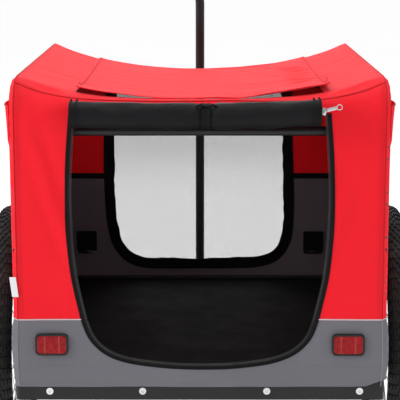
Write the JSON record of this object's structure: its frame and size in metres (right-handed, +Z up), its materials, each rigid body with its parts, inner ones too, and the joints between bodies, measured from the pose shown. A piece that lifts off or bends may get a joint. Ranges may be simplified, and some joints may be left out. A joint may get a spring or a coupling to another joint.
{
  "type": "bicycle trailer with a folding cloth cabin",
  "caption": "Two-wheeled bicycle trailer: folding steel frame, red and grey zipped cloth cabin, rear door rolled up, tow arm folded upright on a parking stand.",
  "frame": {"origin": "on the ground, at the middle of the trailer's footprint with the tow arm folded up", "axes": "+Y the way the trailer travels, +X its right-hand side, +Z up"},
  "size_m": [0.7956, 0.8336, 1.122],
  "materials": {
    "frame_paint": "satin black powder coat on steel tube",
    "black_plastic": "moulded, fine grain",
    "board": "ribbed polypropylene sheet",
    "mat": "black woven mat",
    "steel": "zinc-plated",
    "alloy": "brushed, lightly dulled",
    "rubber": "matt",
    "tyre": "matt, block tread",
    "red_cloth": "coated woven polyester, slight sheen",
    "grey_cloth": "coated woven polyester",
    "black_cloth": "woven polyester and mesh",
    "mesh": "fine knitted mesh",
    "zip_tape": "woven tape with a coil zip",
    "reflector_red": "prismatic",
    "reflector_front": "prismatic, in a black frame"
  },
  "bodies": {
    "chassis": {"axle_left": "steel", "axle_right": "steel", "bracket_bolts": "steel", "canopy_front": "red_cloth", "canopy_rear": "red_cloth", "canopy_roof": "red_cloth", "canopy_sides": "red_cloth", "corner_fittings": "black_plastic", "corner_posts": "frame_paint", "cover_screws": "steel", "floor_bearers": "frame_paint", "floor_board": "board", "floor_mat": "mat", "hinge_pins": "steel", "rail_front": "frame_paint", "rail_left": "frame_paint", "rail_rear": "frame_paint", "rail_right": "frame_paint", "rear_zip": "zip_tape", "reflectors_front": "reflector_front", "reflectors_rear": "reflector_red", "roof_cover": "red_cloth", "roof_mesh": "mesh", "skirt_front": "grey_cloth", "skirt_rear": "grey_cloth", "skirt_sides": "grey_cloth", "stand_brackets": "frame_paint", "tow_bracket": "frame_paint", "windows": "mesh"},
    "hoop_left": {"side_frame_left": "frame_paint"},
    "hoop_right": {"side_frame_right": "frame_paint"},
    "crossbars": {"crossbar_rear": "frame_paint", "crossbar_front": "frame_paint", "crossbar_ends": "black_plastic", "door_roll": "black_cloth"},
    "pins_rear": {"lock_pins_rear": "black_plastic"},
    "pins_front": {"lock_pins_front": "black_plastic"},
    "draw_bar": {"tow_arm": "frame_paint", "hitch_socket": "black_plastic", "hitch_yaw_pin": "steel"},
    "draw_bar_pin": {"tow_pin": "steel"},
    "hitch_link": {"hitch_head": "alloy", "hitch_pitch_pin": "steel"},
    "hitch_end": {"hitch_plate": "steel"},
    "stand": {"stand_leg": "frame_paint", "stand_feet": "rubber"},
    "wheel_left": {"tyre_left": "tyre", "inner_tube_left": "rubber", "rim_left": "alloy", "spokes_left": "steel", "hub_left": "alloy", "bearings_left": "steel"},
    "button_left": {"axle_button_left": "black_plastic"},
    "wheel_right": {"tyre_right": "tyre", "inner_tube_right": "rubber", "rim_right": "alloy", "spokes_right": "steel", "hub_right": "alloy", "bearings_right": "steel"},
    "button_right": {"axle_button_right": "black_plastic"}
  },
  "joints": [
    {"name": "fold", "type": "hinge", "parent": "chassis", "child": "hoop_left", "pos_m": [-0.3025, 0.0028, 0.4765], "axis": [0, 1, 0], "range_deg": [0, 90], "deforming": ["canopy_roof", "roof_mesh", "roof_cover", "canopy_rear", "canopy_front", "canopy_sides", "windows", "rear_zip"]},
    {"name": "fold_right", "type": "hinge", "parent": "chassis", "child": "hoop_right", "pos_m": [0.3025, 0.0028, 0.4765], "axis": [0, -1, 0], "range_deg": [0, 90]},
    {"name": "crossbars_lower", "type": "slide", "parent": "chassis", "child": "crossbars", "axis": [0, 0, -1], "range_m": [0, 0.26]},
    {"name": "pins_rear_pull", "type": "slide", "parent": "crossbars", "child": "pins_rear", "axis": [0, 1, 0], "range_m": [0, 0.0102]},
    {"name": "pins_front_pull", "type": "slide", "parent": "crossbars", "child": "pins_front", "axis": [0, -1, 0], "range_m": [0, 0.0102]},
    {"name": "draw_bar_fold", "type": "hinge", "parent": "chassis", "child": "draw_bar", "pos_m": [0, 0.4048, 0.24], "axis": [-1, 0, 0], "range_deg": [0, 90]},
    {"name": "draw_bar_pin_pull", "type": "slide", "parent": "chassis", "child": "draw_bar_pin", "axis": [-1, 0, 0], "range_m": [0, 0.045]},
    {"name": "hitch_yaw", "type": "hinge", "parent": "draw_bar", "child": "hitch_link", "pos_m": [-0.09, 0.4048, 1.052], "axis": [0, 1, 0], "range_deg": [-55, 55]},
    {"name": "hitch_pitch", "type": "hinge", "parent": "hitch_link", "child": "hitch_end", "pos_m": [-0.09, 0.4048, 1.082], "axis": [1, 0, 0], "range_deg": [-100, 100]},
    {"name": "stand_fold", "type": "hinge", "parent": "chassis", "child": "stand", "pos_m": [0, 0.3603, 0.214], "axis": [-1, 0, 0], "range_deg": [0, 90]},
    {"name": "wheel_left_spin", "type": "hinge", "parent": "chassis", "child": "wheel_left", "pos_m": [-0.358, -0.0172, 0.247], "axis": [1, 0, 0], "continuous": true},
    {"name": "button_left_press", "type": "slide", "parent": "chassis", "child": "button_left", "axis": [1, 0, 0], "range_m": [0, 0.003], "stiffness_N_per_m": 600},
    {"name": "wheel_right_spin", "type": "hinge", "parent": "chassis", "child": "wheel_right", "pos_m": [0.358, -0.0172, 0.247], "axis": [1, 0, 0], "continuous": true},
    {"name": "button_right_press", "type": "slide", "parent": "chassis", "child": "button_right", "axis": [-1, 0, 0], "range_m": [0, 0.003], "stiffness_N_per_m": 600}
  ],
  "couplings": [
    {"joint": "fold_right", "follows": "fold", "ratio": 1},
    {"joint": "crossbars_lower", "follows": "fold", "m_per_rad": 0.1652},
    {"joint": "pins_rear_pull", "follows": "fold", "m_per_rad": 0.006366},
    {"joint": "pins_front_pull", "follows": "fold", "m_per_rad": 0.006366}
  ]
}
